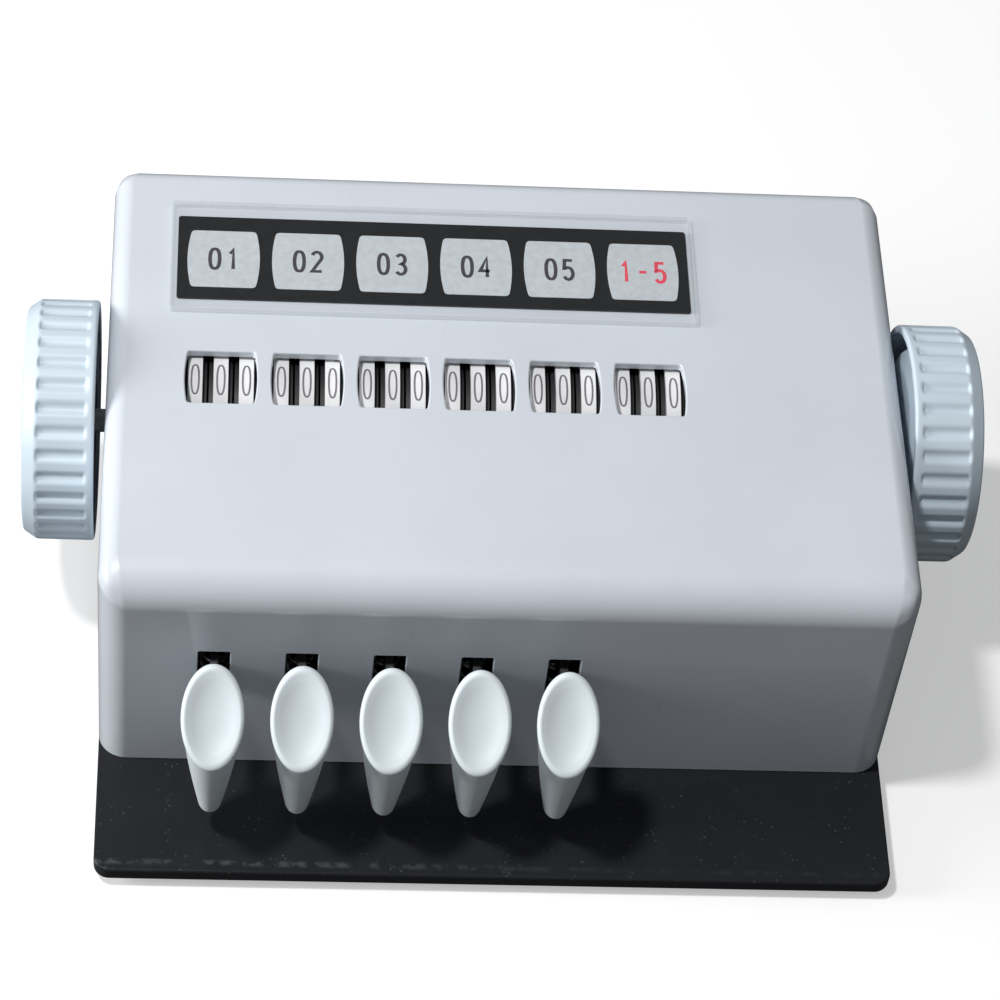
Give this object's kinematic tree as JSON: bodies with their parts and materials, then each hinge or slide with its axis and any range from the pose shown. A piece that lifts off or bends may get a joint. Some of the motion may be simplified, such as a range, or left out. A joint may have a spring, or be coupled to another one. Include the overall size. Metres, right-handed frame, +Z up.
{
  "type": "tally counter",
  "caption": "Desk tally counter: painted housing on a black base plate, dished lever keys in front, windows with number wheels, fluted reset knob at each end.",
  "frame": {"origin": "on the surface that the feet rest on, under the middle of the whole object", "axes": "+X along the row of keys to the right as the user sees them, -Y towards the user, +Z up"},
  "size_m": [0.241, 0.1704, 0.0845],
  "materials": {
    "housing_paint": "light grey paint, satin",
    "plate_paint": "black paint, glossy",
    "knob_plastic": "light blue-grey moulding, satin",
    "key_plastic": "near-white moulding, glossy",
    "wheel_plastic": "white band with dark figures",
    "label_card": "black card with pale tabs",
    "clear_plastic": "clear",
    "steel": "plain steel",
    "spring_steel": "bright wire",
    "brass": "plain brass",
    "rubber": "black rubber"
  },
  "bodies": {
    "chassis": {"housing": "housing_paint", "base_plate": "plate_paint", "foot_1": "rubber", "base_screw_1": "steel", "foot_2": "rubber", "base_screw_2": "steel", "foot_3": "rubber", "base_screw_3": "steel", "foot_4": "rubber", "base_screw_4": "steel", "label_card": "label_card", "label_cover": "clear_plastic", "key_spring_1": "spring_steel", "key_spring_2": "spring_steel", "key_spring_3": "spring_steel", "key_spring_4": "spring_steel", "key_spring_5": "spring_steel", "key_pivot_shaft": "steel", "frame_plate_left": "steel", "frame_plate_right": "steel", "bell_post": "steel", "striker_post": "steel", "bail_spring": "spring_steel", "shaft_bush_left": "brass", "shaft_bush_right": "brass", "bell_gong": "brass"},
    "key_1": {"key_cap_1": "key_plastic", "key_lever_1": "steel"},
    "key_2": {"key_cap_2": "key_plastic", "key_lever_2": "steel"},
    "key_3": {"key_cap_3": "key_plastic", "key_lever_3": "steel"},
    "key_4": {"key_cap_4": "key_plastic", "key_lever_4": "steel"},
    "key_5": {"key_cap_5": "key_plastic", "key_lever_5": "steel"},
    "wheel_counter_1_hundreds": {"counter_1_hundreds": "wheel_plastic"},
    "wheel_counter_1_tens": {"counter_1_tens": "wheel_plastic"},
    "wheel_counter_1_units": {"counter_1_units": "wheel_plastic"},
    "wheel_counter_2_hundreds": {"counter_2_hundreds": "wheel_plastic"},
    "wheel_counter_2_tens": {"counter_2_tens": "wheel_plastic"},
    "wheel_counter_2_units": {"counter_2_units": "wheel_plastic"},
    "wheel_counter_3_hundreds": {"counter_3_hundreds": "wheel_plastic"},
    "wheel_counter_3_tens": {"counter_3_tens": "wheel_plastic"},
    "wheel_counter_3_units": {"counter_3_units": "wheel_plastic"},
    "wheel_counter_4_hundreds": {"counter_4_hundreds": "wheel_plastic"},
    "wheel_counter_4_tens": {"counter_4_tens": "wheel_plastic"},
    "wheel_counter_4_units": {"counter_4_units": "wheel_plastic"},
    "wheel_counter_5_hundreds": {"counter_5_hundreds": "wheel_plastic"},
    "wheel_counter_5_tens": {"counter_5_tens": "wheel_plastic"},
    "wheel_counter_5_units": {"counter_5_units": "wheel_plastic"},
    "wheel_total_hundreds": {"total_hundreds": "wheel_plastic"},
    "wheel_total_tens": {"total_tens": "wheel_plastic"},
    "wheel_total_units": {"total_units": "wheel_plastic"},
    "reset_left": {"reset_knob_left": "knob_plastic", "reset_shaft_left": "steel"},
    "reset_right": {"reset_knob_right": "knob_plastic", "reset_shaft_right": "steel"},
    "bail": {"total_bail": "steel"},
    "bell_striker": {"striker": "steel"}
  },
  "joints": [
    {"name": "key_1_press", "type": "hinge", "parent": "chassis", "child": "key_1", "pos_m": [0, 0.06075, 0.021], "axis": [1, 0, 0], "range_deg": [0, 3.2], "stiffness_Nm_per_rad": 1.3, "springref_deg": -4.58, "deforming": ["key_spring_1"]},
    {"name": "key_2_press", "type": "hinge", "parent": "chassis", "child": "key_2", "pos_m": [0, 0.06075, 0.021], "axis": [1, 0, 0], "range_deg": [0, 3.2], "stiffness_Nm_per_rad": 1.3, "springref_deg": -4.58, "deforming": ["key_spring_2"]},
    {"name": "key_3_press", "type": "hinge", "parent": "chassis", "child": "key_3", "pos_m": [0, 0.06075, 0.021], "axis": [1, 0, 0], "range_deg": [0, 3.2], "stiffness_Nm_per_rad": 1.3, "springref_deg": -4.58, "deforming": ["key_spring_3"]},
    {"name": "key_4_press", "type": "hinge", "parent": "chassis", "child": "key_4", "pos_m": [0, 0.06075, 0.021], "axis": [1, 0, 0], "range_deg": [0, 3.2], "stiffness_Nm_per_rad": 1.3, "springref_deg": -4.58, "deforming": ["key_spring_4"]},
    {"name": "key_5_press", "type": "hinge", "parent": "chassis", "child": "key_5", "pos_m": [0, 0.06075, 0.021], "axis": [1, 0, 0], "range_deg": [0, 3.2], "stiffness_Nm_per_rad": 1.3, "springref_deg": -4.58, "deforming": ["key_spring_5"]},
    {"name": "counter_1_hundreds_turn", "type": "hinge", "parent": "chassis", "child": "wheel_counter_1_hundreds", "pos_m": [0, 0.01975, 0.054], "axis": [1, 0, 0], "continuous": true},
    {"name": "counter_1_tens_turn", "type": "hinge", "parent": "chassis", "child": "wheel_counter_1_tens", "pos_m": [0, 0.01975, 0.054], "axis": [1, 0, 0], "continuous": true},
    {"name": "counter_1_units_turn", "type": "hinge", "parent": "chassis", "child": "wheel_counter_1_units", "pos_m": [0, 0.01975, 0.054], "axis": [1, 0, 0], "continuous": true},
    {"name": "counter_2_hundreds_turn", "type": "hinge", "parent": "chassis", "child": "wheel_counter_2_hundreds", "pos_m": [0, 0.01975, 0.054], "axis": [1, 0, 0], "continuous": true},
    {"name": "counter_2_tens_turn", "type": "hinge", "parent": "chassis", "child": "wheel_counter_2_tens", "pos_m": [0, 0.01975, 0.054], "axis": [1, 0, 0], "continuous": true},
    {"name": "counter_2_units_turn", "type": "hinge", "parent": "chassis", "child": "wheel_counter_2_units", "pos_m": [0, 0.01975, 0.054], "axis": [1, 0, 0], "continuous": true},
    {"name": "counter_3_hundreds_turn", "type": "hinge", "parent": "chassis", "child": "wheel_counter_3_hundreds", "pos_m": [0, 0.01975, 0.054], "axis": [1, 0, 0], "continuous": true},
    {"name": "counter_3_tens_turn", "type": "hinge", "parent": "chassis", "child": "wheel_counter_3_tens", "pos_m": [0, 0.01975, 0.054], "axis": [1, 0, 0], "continuous": true},
    {"name": "counter_3_units_turn", "type": "hinge", "parent": "chassis", "child": "wheel_counter_3_units", "pos_m": [0, 0.01975, 0.054], "axis": [1, 0, 0], "continuous": true},
    {"name": "counter_4_hundreds_turn", "type": "hinge", "parent": "chassis", "child": "wheel_counter_4_hundreds", "pos_m": [0, 0.01975, 0.054], "axis": [1, 0, 0], "continuous": true},
    {"name": "counter_4_tens_turn", "type": "hinge", "parent": "chassis", "child": "wheel_counter_4_tens", "pos_m": [0, 0.01975, 0.054], "axis": [1, 0, 0], "continuous": true},
    {"name": "counter_4_units_turn", "type": "hinge", "parent": "chassis", "child": "wheel_counter_4_units", "pos_m": [0, 0.01975, 0.054], "axis": [1, 0, 0], "continuous": true},
    {"name": "counter_5_hundreds_turn", "type": "hinge", "parent": "chassis", "child": "wheel_counter_5_hundreds", "pos_m": [0, 0.01975, 0.054], "axis": [1, 0, 0], "continuous": true},
    {"name": "counter_5_tens_turn", "type": "hinge", "parent": "chassis", "child": "wheel_counter_5_tens", "pos_m": [0, 0.01975, 0.054], "axis": [1, 0, 0], "continuous": true},
    {"name": "counter_5_units_turn", "type": "hinge", "parent": "chassis", "child": "wheel_counter_5_units", "pos_m": [0, 0.01975, 0.054], "axis": [1, 0, 0], "continuous": true},
    {"name": "total_hundreds_turn", "type": "hinge", "parent": "chassis", "child": "wheel_total_hundreds", "pos_m": [0, 0.01975, 0.054], "axis": [1, 0, 0], "continuous": true},
    {"name": "total_tens_turn", "type": "hinge", "parent": "chassis", "child": "wheel_total_tens", "pos_m": [0, 0.01975, 0.054], "axis": [1, 0, 0], "continuous": true},
    {"name": "total_units_turn", "type": "hinge", "parent": "chassis", "child": "wheel_total_units", "pos_m": [0, 0.01975, 0.054], "axis": [1, 0, 0], "continuous": true},
    {"name": "reset_left_turn", "type": "hinge", "parent": "chassis", "child": "reset_left", "pos_m": [0, 0.01975, 0.054], "axis": [1, 0, 0], "continuous": true},
    {"name": "reset_right_turn", "type": "hinge", "parent": "chassis", "child": "reset_right", "pos_m": [0, 0.01975, 0.054], "axis": [1, 0, 0], "continuous": true},
    {"name": "bail_swing", "type": "hinge", "parent": "chassis", "child": "bail", "pos_m": [0, 0.06075, 0.021], "axis": [1, 0, 0], "range_deg": [0, 3.2], "stiffness_Nm_per_rad": 0.8, "springref_deg": -4.58},
    {"name": "striker_swing", "type": "hinge", "parent": "chassis", "child": "bell_striker", "pos_m": [0.06005, 0.01025, 0], "axis": [0, 0, 1], "range_deg": [0, 10], "stiffness_Nm_per_rad": 0.01, "springref_deg": -11.46}
  ],
  "couplings": [
    {"joint": "counter_1_tens_turn", "follows": "counter_1_units_turn", "ratio": 0.1},
    {"joint": "counter_1_hundreds_turn", "follows": "counter_1_units_turn", "ratio": 0.01},
    {"joint": "counter_2_tens_turn", "follows": "counter_2_units_turn", "ratio": 0.1},
    {"joint": "counter_2_hundreds_turn", "follows": "counter_2_units_turn", "ratio": 0.01},
    {"joint": "counter_3_tens_turn", "follows": "counter_3_units_turn", "ratio": 0.1},
    {"joint": "counter_3_hundreds_turn", "follows": "counter_3_units_turn", "ratio": 0.01},
    {"joint": "counter_4_tens_turn", "follows": "counter_4_units_turn", "ratio": 0.1},
    {"joint": "counter_4_hundreds_turn", "follows": "counter_4_units_turn", "ratio": 0.01},
    {"joint": "counter_5_tens_turn", "follows": "counter_5_units_turn", "ratio": 0.1},
    {"joint": "counter_5_hundreds_turn", "follows": "counter_5_units_turn", "ratio": 0.01},
    {"joint": "total_tens_turn", "follows": "total_units_turn", "ratio": 0.1},
    {"joint": "total_hundreds_turn", "follows": "total_units_turn", "ratio": 0.01}
  ]
}
